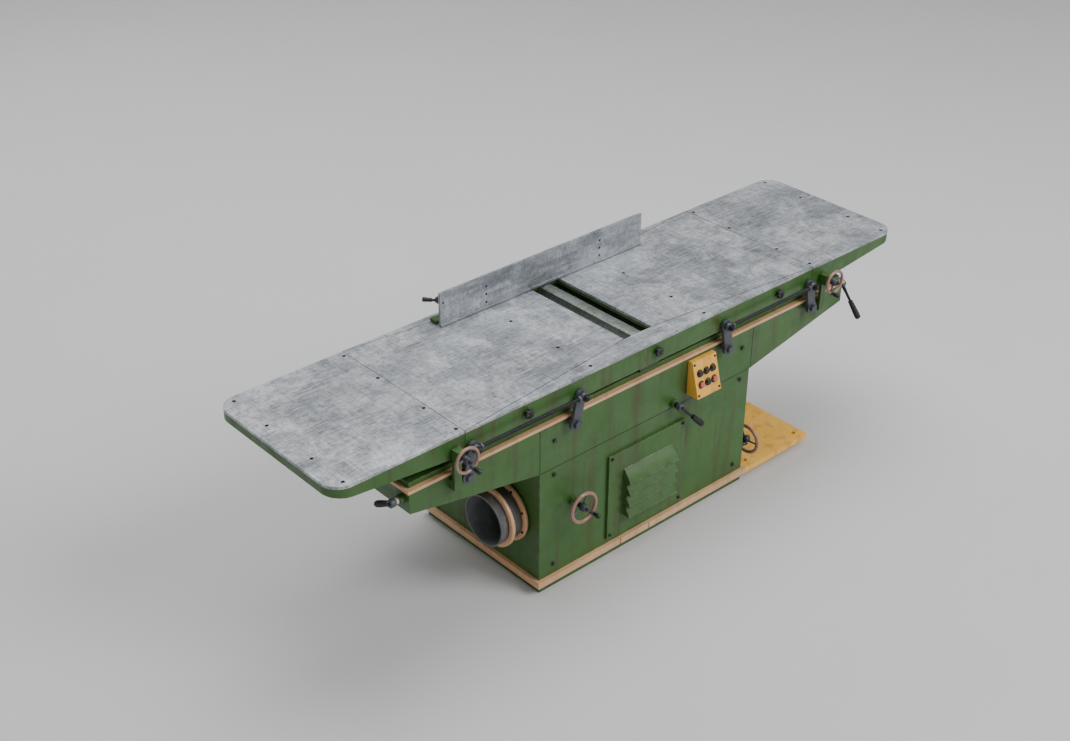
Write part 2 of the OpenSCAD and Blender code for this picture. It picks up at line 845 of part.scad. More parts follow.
module control_box() {
    color(ochre) difference() {
        box_side(0);
        difference() {
            box_side(box_wall);
            on_box_face() translate([-80, -90, -box_wall]) cube([160, 180, 40]);
        }
        on_box_face() button_places() translate([0, 0, -20]) cylinder(r = button_r - 3 + running, h = 40);
        on_box_face() box_screw_places() translate([0, 0, -3]) cylinder(r = 2.5, h = 10);
    }
}

module box_screws() {
    on_box_face() box_screw_places() {
        translate([0, 0, -3]) cylinder(r = 2.3, h = 3.01);
        cylinder(r = 4.5, h = 2.5);
    }
}

module push_button(n, tint) {
    row = n > 3 ? 0 : 1;
    col = (n - 1) % 3 - 1;
    color(tint) on_box_face() translate([col * button_dx, (row - 0.5) * button_dz, 0]) {
        translate([0, 0, button_travel + 0.5]) cylinder(r = button_r, h = 6);
        translate([0, 0, -box_wall - 2]) cylinder(r = button_r - 3, h = box_wall + 2 + button_travel + 1);
    }
}

// ---- fence ----

module fence_plate() {
    color(steel) difference() {
        union() {
            block(-fence_l / 2, fence_l / 2, fence_y, fence_y + fence_t,
                  table_h + fence_gap, table_h + fence_h);
            block(-fence_l / 2, fence_l / 2, fence_y - 3, fence_y + 0.01, table_h + fence_gap, table_h + 12);
            for (k = knuckle_x)
                translate([k * fence_l, 0, 0]) {
                    cyl_x(knuckle_r, 0, knuckle_l, hinge_y, hinge_z);
                    block(0, knuckle_l, fence_y + 1, hinge_y, hinge_z, hinge_z + knuckle_r);
                }
        }
        for (k = knuckle_x)
            cyl_x(hinge_pin_r + running, k * fence_l - 1, k * fence_l + knuckle_l + 1, hinge_y, hinge_z);
        fence_screw_places() cyl_y(5, fence_y - 1, fence_y + fence_t + 1, 0, 0);
        cyl_y(5 + running, fence_y - 4, fence_y + fence_t + 1, fence_lock_x, fence_lock_z);
    }
}

module fence_screw_places() {
    for (x = [-288, 277], z = [28, 60, 92]) translate([x, 0, table_h + z]) children();
}

module fence_screws() {
    color(black) fence_screw_places() {
        cyl_y(5, fence_y, fence_y + fence_t + 4, 0, 0);
        translate([0, fence_y + fence_t, 0]) rotate([-90, 0, 0]) cylinder(r = 9, h = 7, $fn = 6);
    }
}

module fence_foot() {
    color(green) {
        block(-fence_l / 2, fence_l / 2, hinge_y + knuckle_r + 2, foot_back,
              table_h + fence_gap, table_h + 14);
        for (k = knuckle_x, e = [-1, 1])
            translate([k * fence_l + (e < 0 ? -17.2 : knuckle_l + 0.2), 0, 0]) {
                cyl_x(knuckle_r, 0, 17, hinge_y, hinge_z);
                block(0, 17, hinge_y, hinge_y + knuckle_r + 3, table_h + 4, table_h + 14);
            }
        for (k = knuckle_x)
            cyl_x(hinge_pin_r, k * fence_l - 2, k * fence_l + knuckle_l + 2, hinge_y, hinge_z);
        for (x = [-bar_x, bar_x]) {
            cyl_y(bar_r, foot_back - 16, rail_block_y + rail_block_t + fence_travel + 1, x, bar_z);
            block(x - 24, x + 24, foot_back - 16, foot_back,
                  table_h + fence_gap + 1, bar_z + bar_r + bar_wall);
        }
    }
}

module fence_rail() {
    y0 = rail_block_y;
    y1 = rail_block_y + rail_block_t;
    color(dark_green) difference() {
        union() {
            for (x = [-bar_x, bar_x]) {
                block(x - 26, x + 26, y0, y1, 600, bar_z + bar_r + bar_wall);
                block(x - 26, x + 26, bed_y, y0 + step, 600, bed_top - 16);
            }
            block(-bar_x, bar_x, y0 + 4, y0 + 20, 640, 690);
        }
        for (x = [-bar_x, bar_x]) cyl_y(bar_r + running, y0 - 1, y1 + 1, x, bar_z);
    }
}

module fence_lock() {
    x = fence_lock_x;
    color(black) {
        cyl_y(5, fence_y + 1, fence_y + fence_t + 24, x, fence_lock_z);
        cyl_y(12, fence_y + fence_t + 1, fence_y + fence_t + 26, x, fence_lock_z);
        translate([x, fence_y + fence_t + 16, fence_lock_z]) rotate([0, -90, -50]) {
            cylinder(r = 5, h = 40);
            translate([0, 0, 24]) cylinder(r1 = 7, r2 = 9, h = 34);
        }
    }
}

// ---- drawing ----

plinth();
base_plate();
platform();
cabinet_sides();
cabinet_ends();
door_panel();
louvre_block();
bed_centre();
bed_left();
bed_right();
bed_trim();
frame_fasteners();
head_bearings();
chip_chute();
control_box();
drive_motor();
extraction_outlet();
shaft_bearings();
drive_belt();
fence_rail();
table_casting(-1);  // outfeed_table
wing_casting(-1);  // outfeed_wing
main_plates(-1);  // outfeed_plate
wing_plate(-1);  // outfeed_wing_plate
table_screws(-1);  // outfeed_screws
table_casting(1);  // infeed_table
wing_casting(1);  // infeed_wing
main_plates(1);  // infeed_plate
wing_plate(1);  // infeed_wing_plate
table_screws(1);  // infeed_screws
cutterhead();
knife_sets();
head_pulley();
motor_pulley();
lift_arm(0);  // arm_1
lift_arm(1);  // arm_2
lift_arm(2);  // arm_3
lift_arm(3);  // arm_4
tie_rod(0);  // tie_rod_left
tie_rod(2);  // tie_rod_right
table_wheel(0);  // outfeed_handwheel
table_wheel(1);  // infeed_handwheel
cabinet_handwheel();
end_handwheel();
clamp_lever(-1);  // left_clamp_lever
clamp_lever(1);  // right_clamp_lever
front_lever();
lock_knob(0);  // lock_knob_left
lock_knob(1);  // lock_knob_middle
lock_knob(2);  // lock_knob_right
push_button(1, black);  // button_1
push_button(2, black);  // button_2
push_button(3, black);  // button_3
push_button(4, [0.75, 0.25, 0.25]);  // button_4
push_button(5, black);  // button_5
push_button(6, [0.75, 0.25, 0.25]);  // button_6
fence_plate();
fence_foot();
fence_screws();
fence_lock();
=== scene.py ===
"""Looks for the jointer: procedural materials, detailed fittings, a pale studio and the camera."""
import json
import math

import bmesh
import bpy
from mathutils import Matrix, Vector


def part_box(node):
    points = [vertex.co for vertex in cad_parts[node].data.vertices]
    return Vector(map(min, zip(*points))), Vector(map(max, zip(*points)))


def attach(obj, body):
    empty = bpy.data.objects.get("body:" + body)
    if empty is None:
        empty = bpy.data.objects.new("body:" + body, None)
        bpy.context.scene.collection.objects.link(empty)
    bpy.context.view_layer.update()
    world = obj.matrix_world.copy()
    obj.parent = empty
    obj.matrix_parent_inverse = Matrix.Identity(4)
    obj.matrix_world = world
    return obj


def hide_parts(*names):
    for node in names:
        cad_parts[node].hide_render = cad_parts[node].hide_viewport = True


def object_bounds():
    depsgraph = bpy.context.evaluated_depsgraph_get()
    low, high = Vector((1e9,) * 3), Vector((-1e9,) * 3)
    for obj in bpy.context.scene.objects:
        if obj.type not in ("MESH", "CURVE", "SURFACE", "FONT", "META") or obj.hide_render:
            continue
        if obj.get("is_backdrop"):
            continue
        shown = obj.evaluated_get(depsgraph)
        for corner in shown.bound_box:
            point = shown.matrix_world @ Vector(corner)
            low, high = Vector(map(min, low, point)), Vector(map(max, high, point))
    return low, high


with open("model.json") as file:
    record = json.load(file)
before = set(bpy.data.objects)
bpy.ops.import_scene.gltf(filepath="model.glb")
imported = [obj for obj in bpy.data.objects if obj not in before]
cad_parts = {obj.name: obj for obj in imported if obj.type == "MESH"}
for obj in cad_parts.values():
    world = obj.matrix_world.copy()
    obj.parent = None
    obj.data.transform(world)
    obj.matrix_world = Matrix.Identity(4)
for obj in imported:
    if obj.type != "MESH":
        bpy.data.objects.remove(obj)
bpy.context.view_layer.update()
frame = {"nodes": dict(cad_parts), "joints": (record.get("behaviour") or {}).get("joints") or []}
NODES = frame["nodes"]
JOINTS = {j["name"]: j for j in frame["joints"]}
MM = 0.001
TAU = 2 * math.pi


# ---- shader building ----

class Shader:
    """A small builder around one node material."""

    def __init__(self, name):
        self.mat = bpy.data.materials.new(name)
        self.mat.use_nodes = True
        self.tree = self.mat.node_tree
        self.bsdf = self.tree.nodes["Principled BSDF"]
        self.coords = self.add("ShaderNodeTexCoord").outputs["Object"]

    def add(self, kind, **settings):
        node = self.tree.nodes.new(kind)
        for key, value in settings.items():
            setattr(node, key, value)
        return node

    def link(self, source, target):
        self.tree.links.new(source, target)

    def stretched(self, scale, turn=(0, 0, 0)):
        node = self.add("ShaderNodeMapping")
        node.inputs["Scale"].default_value = scale
        node.inputs["Rotation"].default_value = turn
        self.link(self.coords, node.inputs["Vector"])
        return node.outputs["Vector"]

    def noise(self, scale, detail=5.0, rough=0.55, stretch=None, distortion=0.0):
        node = self.add("ShaderNodeTexNoise")
        node.inputs["Scale"].default_value = scale
        node.inputs["Detail"].default_value = detail
        node.inputs["Roughness"].default_value = rough
        node.inputs["Distortion"].default_value = distortion
        vector = self.stretched(stretch) if stretch else self.coords
        self.link(vector, node.inputs["Vector"])
        return node.outputs["Fac"]

    def ramp(self, value, low, high, out_low=0.0, out_high=1.0):
        node = self.add("ShaderNodeMapRange", clamp=True)
        node.interpolation_type = "SMOOTHSTEP"
        for key, number in (("From Min", low), ("From Max", high), ("To Min", out_low), ("To Max", out_high)):
            node.inputs[key].default_value = number
        self.link(value, node.inputs["Value"])
        return node.outputs["Result"]

    def times(self, a, b):
        node = self.add("ShaderNodeMath", operation="MULTIPLY")
        self.link(a, node.inputs[0])
        if isinstance(b, (int, float)):
            node.inputs[1].default_value = b
        else:
            self.link(b, node.inputs[1])
        return node.outputs[0]

    def mix(self, factor, a, b):
        node = self.add("ShaderNodeMix", data_type="RGBA")
        self.link(factor, node.inputs["Factor"])
        for socket, value in ((node.inputs[6], a), (node.inputs[7], b)):
            if isinstance(value, tuple):
                socket.default_value = (*value, 1.0)
            else:
                self.link(value, socket)
        return node.outputs[2]

    def edge_mask(self, radius):
        """1 on edges and 0 on flat faces, from how far a rounded normal leaves the true one."""
        bevel = self.add("ShaderNodeBevel", samples=4)
        bevel.inputs["Radius"].default_value = radius
        true = self.add("ShaderNodeNewGeometry").outputs["Normal"]
        dot = self.add("ShaderNodeVectorMath", operation="DOT_PRODUCT")
        self.link(bevel.outputs["Normal"], dot.inputs[0])
        self.link(true, dot.inputs[1])
        return self.ramp(dot.outputs["Value"], 0.995, 0.86)

    def bump(self, height, strength, distance, radius=0.0015):
        node = self.add("ShaderNodeBump")
        node.inputs["Strength"].default_value = strength
        node.inputs["Distance"].default_value = distance
        self.link(height, node.inputs["Height"])
        if radius:
            bevel = self.add("ShaderNodeBevel", samples=4)
            bevel.inputs["Radius"].default_value = radius
            self.link(bevel.outputs["Normal"], node.inputs["Normal"])
        self.link(node.outputs["Normal"], self.bsdf.inputs["Normal"])

    def finish(self, colour, roughness, metallic=0.0, coat=0.0):
        self.link(colour, self.bsdf.inputs["Base Color"])
        if isinstance(roughness, (int, float)):
            self.bsdf.inputs["Roughness"].default_value = roughness
        else:
            self.link(roughness, self.bsdf.inputs["Roughness"])
        self.bsdf.inputs["Metallic"].default_value = metallic
        self.bsdf.inputs["Coat Weight"].default_value = coat
        return self.mat


def srgb(red, green, blue):
    """A colour picked as 0 to 255 display values, as the linear values that shaders take."""
    shares = [v / 255 for v in (red, green, blue)]
    return tuple(v / 12.92 if v < 0.0404 else ((v + 0.055) / 1.055) ** 2.4 for v in shares)


def paint(name, base, faded, dirt, bare, wear=0.8, streak=0.55):
    """Old machine enamel: cloudy fading, downward streaks, grime, and edges rubbed through."""
    s = Shader(name)
    clouds = s.ramp(s.noise(2.6, 6, 0.6, distortion=0.6), 0.38, 0.66)
    runs = s.ramp(s.noise(1.0, 8, 0.65, stretch=(26, 26, 2.2)), 0.47, 0.70)
    scuffs = s.ramp(s.noise(1.0, 7, 0.7, stretch=(5, 5, 60), distortion=0.4), 0.60, 0.72)
    specks = s.ramp(s.noise(210, 3, 0.5), 0.66, 0.74)
    colour = s.mix(s.times(clouds, 0.55), base, faded)
    colour = s.mix(s.times(runs, streak), colour, dirt)
    colour = s.mix(s.times(scuffs, 0.25), colour, faded)
    colour = s.mix(s.times(specks, 0.35), colour, dirt)
    rubbed = s.times(s.edge_mask(0.0035), s.ramp(s.noise(38, 6, 0.7), 0.44, 0.60))
    colour = s.mix(s.times(rubbed, wear), colour, bare)
    rough = s.ramp(s.noise(14, 5, 0.6), 0.3, 0.7, 0.36, 0.58)
    s.bump(s.noise(420, 3, 0.6), 0.16, 0.0004)
    return s.finish(colour, rough, coat=0.12)


def ground_steel(name, base, light, dull, metallic=0.55):
    """Ground and handled steel: crossed scratches, mottled wear and dull patches."""
    s = Shader(name)
    patches = s.ramp(s.noise(7.5, 10, 0.74, distortion=0.7), 0.42, 0.60)
    blotches = s.ramp(s.noise(3.4, 8, 0.7, distortion=1.1), 0.46, 0.64)
    along = s.ramp(s.noise(1.0, 8, 0.78, stretch=(7, 190, 40)), 0.47, 0.60)
    across = s.ramp(s.noise(1.0, 8, 0.78, stretch=(170, 6, 40)), 0.50, 0.64)
    mottle = s.ramp(s.noise(70, 7, 0.8), 0.46, 0.62)
    spots = s.ramp(s.noise(34, 6, 0.7), 0.64, 0.72)
    colour = s.mix(s.times(patches, 0.55), base, light)
    colour = s.mix(s.times(blotches, 0.48), colour, dull)
    colour = s.mix(s.times(along, 0.55), colour, light)
    colour = s.mix(s.times(across, 0.52), colour, dull)
    colour = s.mix(s.times(mottle, 0.42), colour, dull)
    colour = s.mix(s.times(spots, 0.40), colour, dull)
    rough = s.ramp(s.noise(8, 8, 0.7, distortion=0.5), 0.3, 0.7, 0.34, 0.56)
    s.bump(along, 0.10, 0.0003, 0.001)
    return s.finish(colour, rough, metallic)


def dark_metal(name, base, rubbed_colour, rough=0.42, metallic=0.6):
    """Blackened or cast metal with bright rubbed edges and a fine grain."""
    s = Shader(name)
    grain = s.noise(160, 4, 0.6)
    clouds = s.ramp(s.noise(22, 5, 0.6), 0.4, 0.65)
    colour = s.mix(s.times(clouds, 0.5), base, tuple(min(1, c * 1.7 + 0.004) for c in base))
    rubbed = s.times(s.edge_mask(0.0014), s.ramp(s.noise(90, 5, 0.7), 0.42, 0.58))
    colour = s.mix(s.times(rubbed, 0.6), colour, rubbed_colour)
    s.bump(grain, 0.20, 0.0003, 0.0008)
    return s.finish(colour, s.ramp(clouds, 0.0, 1.0, rough - 0.06, rough + 0.10), metallic)


def moulded(name, base, rough, coat=0.0, grain_scale=700):
    """Moulded plastic or rubber with a fine texture and dusty high spots."""
    s = Shader(name)
    dust = s.ramp(s.noise(60, 5, 0.6), 0.5, 0.72)
    colour = s.mix(s.times(dust, 0.25), base, tuple(min(1, c * 1.5 + 0.02) for c in base))
    s.bump(s.noise(grain_scale, 2, 0.5), 0.15, 0.0002, 0.0006)
    return s.finish(colour, s.ramp(dust, 0.0, 1.0, rough, rough + 0.12), 0.0, coat)


green = paint("green_enamel", srgb(52, 92, 34), srgb(66, 106, 46), srgb(66, 62, 24),
              srgb(150, 140, 118), streak=0.7)
dark_green = paint("dark_green_enamel", srgb(34, 47, 28), srgb(46, 60, 37), srgb(28, 28, 16),
                   srgb(90, 88, 76), wear=0.5)
peach = paint("peach_enamel", srgb(214, 166, 124), srgb(232, 192, 152), srgb(150, 112, 78),
              srgb(120, 96, 76), wear=0.7, streak=0.35)
ochre = paint("ochre_enamel", srgb(246, 182, 68), srgb(252, 204, 104), srgb(164, 112, 46),
              srgb(150, 124, 84), wear=0.7, streak=0.5)
slate = dark_metal("slate_casting", srgb(74, 78, 84), srgb(150, 154, 160), 0.45, 0.35)
blackened = dark_metal("blackened_steel", srgb(36, 37, 40), srgb(130, 132, 136), 0.38, 0.7)
table_steel = ground_steel("ground_table_steel", srgb(158, 162, 167), srgb(226, 229, 233), srgb(78, 82, 87))
fence_steel = ground_steel("ground_fence_steel", srgb(146, 150, 156), srgb(196, 200, 205), srgb(92, 96, 101))
head_steel = ground_steel("turned_head_steel", srgb(112, 120, 112), srgb(150, 158, 150),
                          srgb(72, 80, 72), metallic=0.7)
knife_steel = ground_steel("knife_steel", srgb(176, 180, 184), srgb(206, 208, 212),
                           srgb(130, 134, 140), metallic=0.85)
rim_lacquer = moulded("rim_lacquer", srgb(150, 112, 98), 0.34, 0.35, 260)
black_plastic = moulded("black_plastic", srgb(34, 34, 36), 0.40, 0.1)
grip_rubber = moulded("grip_rubber", srgb(28, 28, 29), 0.62)
red_plastic = moulded("pink_red_plastic", srgb(190, 96, 92), 0.30, 0.3)
belt_rubber = moulded("belt_rubber", srgb(26, 26, 27), 0.70)
pale_plastic = moulded("pale_plastic", srgb(210, 204, 190), 0.35, 0.2)
# Painted shade: a near-black material for strips laid along joints, standing in for the shade inside the gaps
# between castings and plates.
painted_gap_shade = moulded("seam_painted_gap_shade", srgb(18, 20, 15), 0.75)
duct_dark = dark_metal("duct_dark", srgb(96, 97, 98), srgb(140, 134, 128), 0.55, 0.2)

CAD_FINISH = {
    green: ["cabinet_sides", "cabinet_ends", "door_panel", "bed_centre", "bed_left", "bed_right",
            "outfeed_table", "outfeed_wing", "infeed_table", "infeed_wing", "fence_foot",
            "plinth", "shaft_bearings", "fence_rail", "louvre_block"],
    dark_green: ["head_bearings", "chip_chute"],
    peach: ["base_plate", "bed_trim"],
    ochre: ["platform", "control_box"],
    slate: ["drive_motor", "head_pulley", "motor_pulley", "arm_1", "arm_2", "arm_3", "arm_4"],
    table_steel: ["outfeed_plate", "outfeed_wing_plate", "infeed_plate", "infeed_wing_plate"],
    fence_steel: ["fence_plate"],
    head_steel: ["cutterhead"],
    knife_steel: ["knife_sets"],
    belt_rubber: ["drive_belt"],
    blackened: ["frame_fasteners", "outfeed_screws", "infeed_screws", "fence_screws",
                "tie_rod_left", "tie_rod_right", "left_clamp_lever", "right_clamp_lever", "front_lever"],
    rim_lacquer: ["outfeed_handwheel", "infeed_handwheel", "cabinet_handwheel", "end_handwheel"],
    black_plastic: ["lock_knob_left", "lock_knob_middle", "lock_knob_right", "fence_lock",
                    "button_1", "button_2", "button_3", "button_5"],
    red_plastic: ["button_4", "button_6"],
    duct_dark: ["extraction_outlet"],
}
for finish, names in CAD_FINISH.items():
    for name in names:
        NODES[name].data.materials.clear()
        NODES[name].data.materials.append(finish)


# ---- mesh building ----

def frame_at(origin, z_axis, x_axis=(1, 0, 0)):
    """A matrix that puts local Z along z_axis, with local X as near x_axis as it can be."""
    z = Vector(z_axis).normalized()
    x = Vector(x_axis)
    x = (x - z * x.dot(z)).normalized()
    y = z.cross(x)
    return Matrix.Translation(Vector(origin)) @ Matrix((x, y, z)).transposed().to_4x4()


def mm(*points):
    """Points given in millimetres, in metres."""
    return [tuple(v * MM for v in point) for point in points]


class Piece:
    """One detailed mesh, gathered from lathed, extruded and tubed shapes with their materials."""

    def __init__(self, name):
        self.name = name
        self.bm = bmesh.new()
        self.mats = []

    def slot(self, mat):
        if mat not in self.mats:
            self.mats.append(mat)
        return self.mats.index(mat)

    def _add(self, verts, faces, mat, place, smooth=True):
        index = self.slot(mat)
        made = [self.bm.verts.new(place @ Vector(v)) for v in verts]
        for f in faces:
            face = self.bm.faces.new([made[i] for i in f])
            face.material_index = index
            face.smooth = smooth

    def lathe(self, profile, mat, place, segments=48, sides=None):
        """Turns a profile of (radius, height) points about local Z, closed where radius is 0."""
        n = sides or segments
        verts, rings = [], []
        for r, z in profile:
            if r < 1e-7:
                rings.append([len(verts)])
                verts.append((0, 0, z))
            else:
                rings.append(list(range(len(verts), len(verts) + n)))
                verts += [(r * math.cos(TAU * i / n), r * math.sin(TAU * i / n), z) for i in range(n)]
        faces = []
        for a, b in zip(rings, rings[1:]):
            for i in range(n):
                j = (i + 1) % n
                if len(a) == 1 and len(b) == 1:
                    continue
                if len(a) == 1:
                    faces.append((a[0], b[i], b[j]))
                elif len(b) == 1:
                    faces.append((a[i], b[0], a[j]))
                else:
                    faces.append((a[i], b[i], b[j], a[j]))
        self._add(verts, faces, mat, place, smooth=sides is None)
        return self

    def ring(self, major, minor, mat, place, squash=1.0, segments=72, sides=18):
        """A wheel rim: a tube of the given section about local Z."""
        verts, faces = [], []
        for i in range(segments):
            a = TAU * i / segments
            for k in range(sides):
                b = TAU * k / sides
                r = major + minor * math.cos(b)
                verts.append((r * math.cos(a), r * math.sin(a), minor * squash * math.sin(b)))
        for i in range(segments):
            for k in range(sides):
                i2, k2 = (i + 1) % segments, (k + 1) % sides
                faces.append((i * sides + k, i2 * sides + k, i2 * sides + k2, i * sides + k2))
        self._add(verts, faces, mat, place)
        return self

    def tube(self, path, radii, mat, place, sides=16, flat=1.0):
        """A tapering rod through the path's points, closed at both ends."""
        points = [Vector(p) for p in path]
        verts, faces = [], []
        side = Vector((0, 0, 1))
        for n, p in enumerate(points):
            ahead = (points[min(n + 1, len(points) - 1)] - points[max(n - 1, 0)]).normalized()
            u = side.cross(ahead).normalized()
            v = ahead.cross(u)
            for k in range(sides):
                b = TAU * k / sides
                verts.append(p + u * radii[n] * math.cos(b) + v * radii[n] * flat * math.sin(b))
        for n in range(len(points) - 1):
            for k in range(sides):
                k2 = (k + 1) % sides
                faces.append((n * sides + k, n * sides + k2, (n + 1) * sides + k2, (n + 1) * sides + k))
        faces.append(tuple(reversed(range(sides))))
        faces.append(tuple(range((len(points) - 1) * sides, len(points) * sides)))
        self._add(verts, faces, mat, place)
        return self

    def prism(self, outline, z0, z1, mat, place):
        """Extrudes a closed outline of (x, y) points along local Z."""
        n = len(outline)
        verts = [(x, y, z0) for x, y in outline] + [(x, y, z1) for x, y in outline]
        faces = [tuple(reversed(range(n))), tuple(range(n, 2 * n))]
        faces += [(i, (i + 1) % n, n + (i + 1) % n, n + i) for i in range(n)]
        self._add(verts, faces, mat, place, smooth=False)
        return self

    def box(self, low, high, mat, place=Matrix.Identity(4)):
        (x0, y0, z0), (x1, y1, z1) = low, high
        return self.prism([(x0, y0), (x1, y0), (x1, y1), (x0, y1)], z0, z1, mat, place)

    def done(self, body, slot, *nodes, bevel=0.0, segments=2, angle=35):
        bmesh.ops.recalc_face_normals(self.bm, faces=self.bm.faces)
        mesh = bpy.data.meshes.new(self.name)
        self.bm.to_mesh(mesh)
        self.bm.free()
        for mat in self.mats:
            mesh.materials.append(mat)
        obj = bpy.data.objects.new(self.name, mesh)
        bpy.context.scene.collection.objects.link(obj)
        if bevel:
            mod = obj.modifiers.new("rounded_edges", "BEVEL")
            mod.width = bevel
            mod.segments = segments
            mod.limit_method = "ANGLE"
            mod.angle_limit = math.radians(angle)
        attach(obj, body)
        if nodes:
            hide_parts(*nodes)
        return obj


def rounded(radius, z0, z1, round_by, steps=4):
    """The profile of a disc with rounded rims, from its lower centre to its upper centre."""
    low = [(radius - round_by + round_by * math.sin(t), z0 + round_by - round_by * math.cos(t))
           for t in (i * math.pi / 2 / steps for i in range(steps + 1))]
    high = [(r, z0 + z1 - z) for r, z in reversed(low)]
    return [(0, z0)] + low + high + [(0, z1)]


def islands(node):
    """The (low, high) box of each separate solid in a CAD node."""
    mesh = NODES[node].data
    places, owner = {}, []
    for v in mesh.vertices:
        key = tuple(round(c, 6) for c in v.co)
        owner.append(places.setdefault(key, len(places)))
    parent = list(range(len(places)))

    def root(i):
        while parent[i] != i:
            parent[i] = parent[parent[i]]
            i = parent[i]
        return i

    for poly in mesh.polygons:
        first = root(owner[poly.vertices[0]])
        for v in poly.vertices[1:]:
            parent[root(owner[v])] = first
    groups = {}
    for key, i in places.items():
        groups.setdefault(root(i), []).append(key)
    boxes = []
    for points in groups.values():
        axes = list(zip(*points))
        boxes.append((Vector([min(a) for a in axes]), Vector([max(a) for a in axes])))
    return sorted(boxes, key=lambda b: tuple(b[0]))


# ---- handwheels ----

def barrel_grip(piece, place, length, radius, mat):
    """A turned grip on its bolt, standing along local Z."""
    piece.lathe([(0, 0), (4 * MM, 0), (4 * MM, 11 * MM), (radius * 0.72, 11 * MM), (radius * 0.78, 13 * MM),
                 (radius * 0.86, length * 0.45), (radius, length * 0.72), (radius * 0.97, length * 0.88),
                 (radius * 0.7, length * 0.97), (radius * 0.32, length), (0, length)], mat, place, 32)


def handwheel(joint, node, x_axis, radius, shaft, grip_angle):
    """A lacquered rim on three dished spokes, with a turned grip, a nut and its shaft."""
    at = JOINTS[joint]
    place = frame_at(at["pos_m"], at["axis"], x_axis)
    wheel = Piece(node + "_detailed")
    tube = radius * 0.115
    wheel.ring(radius - tube, tube, rim_lacquer, place, 0.92)
    wheel.lathe(mm((0, -13), (13, -13), (15, -10), (15, 5), (12.5, 8), (12.5, 11), (11.5, 12), (0, 12)),
                slate, place, 40)
    wheel.lathe(mm((0, 12), (8, 12), (8, 17), (6, 18.5), (0, 18.5)), blackened, place, sides=6)
    spokes, steps = 3, 6
    for i in range(spokes):
        spin = place @ Matrix.Rotation(math.radians(grip_angle) + TAU * i / spokes, 4, "Z")
        path, radii = [], []
        for k in range(steps + 1):
            t = k / steps
            path.append((12 * MM + (radius - tube - 13 * MM) * t, 0, -5 * MM * math.cos(t * math.pi / 2)))
            radii.append((5.6 - 2.0 * math.sin(t * math.pi) + 0.2 * t) * MM)
        wheel.tube(path, radii, slate, spin, 14, 0.72)
    to_grip = place @ Matrix.Rotation(math.radians(grip_angle), 4, "Z")
    boss = to_grip @ Matrix.Translation((radius - tube, 0, 0))
    wheel.lathe(rounded(9 * MM, -7 * MM, 8 * MM, 2 * MM), slate, boss, 32)
    barrel_grip(wheel, boss, 41 * MM, 9 * MM, black_plastic)
    wheel.lathe([(0, -shaft), (7 * MM, -shaft), (8 * MM, -shaft + MM), (8 * MM, -12 * MM), (0, -12 * MM)],
                blackened, place, 32)
    wheel.lathe(rounded(11 * MM, -19 * MM, -13 * MM, 1 * MM), blackened, place, 32)
    wheel.done(node, "wheel_rim", node)


def shaft_length(node, joint, axis):
    """How far a wheel's shaft reaches behind its hub, from the CAD."""
    low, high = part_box(node)
    at = JOINTS[joint]["pos_m"]
    return high.y - at[1] if axis == "y" else at[0] - low.x


for node, joint, angle in (("outfeed_handwheel", "outfeed_wheel_turn", -60),
                           ("infeed_handwheel", "infeed_wheel_turn", -110),
                           ("cabinet_handwheel", "cabinet_wheel_turn", -45)):
    low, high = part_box(node)
    handwheel(joint, node, (1, 0, 0), (high.x - low.x) / 2, shaft_length(node, joint, "y"), angle)
low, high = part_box("end_handwheel")
handwheel("end_wheel_turn", "end_handwheel", (0, 0, -1), (high.y - low.y) / 2,
          shaft_length("end_handwheel", "end_wheel_turn", "x"), 30)


# ---- levers ----

def lever(joint, node, x_axis, angle, length, shaft, collar=blackened):
    """A hub and nut on a shaft, with a tapering arm that ends in a ribbed grip."""
    at = JOINTS[joint]
    place = frame_at(at["pos_m"], at["axis"], x_axis)
    arm = Piece(node + "_detailed")
    arm.lathe(mm((0, -6), (13, -6), (15, -4), (15, 13), (13, 16), (9, 16), (0, 16)), slate, place, 36)
    arm.lathe(mm((0, 16), (8, 16), (8, 20), (6.5, 21), (0, 21)), blackened, place, sides=6)
    arm.lathe([(0, -shaft), (7 * MM, -shaft), (8 * MM, -shaft + MM), (8 * MM, -6 * MM), (0, -6 * MM)],
              blackened, place, 32)
    arm.lathe(rounded(11 * MM, -19 * MM, -7 * MM, 3 * MM), collar, place, 32)
    spin = place @ Matrix.Rotation(math.radians(angle), 4, "Z")
    lift = 5 * MM
    end = length - 75 * MM
    arm.tube([(8 * MM, 0, lift), (20 * MM, 0, lift), (end * 0.6, 0, lift), (end + 4 * MM, 0, lift)],
             [8 * MM, 7 * MM, 5.6 * MM, 5.4 * MM], blackened, spin, 20)
    along = spin @ frame_at((end, 0, lift), (1, 0, 0), (0, 1, 0))
    grip = mm((0, 0), (8, 0), (9.4, 1.5))
    ribs = 7
    for i in range(ribs):
        z = (6 + i * 8) * MM
        r = (9.2 + i * 0.36) * MM
        grip += [(r, z), (r + 0.9 * MM, z + 2 * MM), (r + 0.9 * MM, z + 5 * MM), (r, z + 7 * MM)]
    grip += mm((12, 64), (12, 70), (10.6, 76), (7, 80), (0, 81))
    arm.lathe(grip, grip_rubber, along, 32)
    arm.done(node, "dark_steel", node)


low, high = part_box("front_lever")
lever("front_lever_turn", "front_lever", (1, 0, 0), -45, 175 * MM,
      high.y - JOINTS["front_lever_turn"]["pos_m"][1])
low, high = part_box("right_clamp_lever")
lever("right_clamp_turn", "right_clamp_lever", (0, 0, -1), -40, 150 * MM,
      JOINTS["right_clamp_turn"]["pos_m"][0] - low.x)
low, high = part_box("left_clamp_lever")
lever("left_clamp_turn", "left_clamp_lever", (0, 0, -1), -60, 95 * MM,
      high.x - JOINTS["left_clamp_turn"]["pos_m"][0], pale_plastic)


# ---- apron lock knobs ----

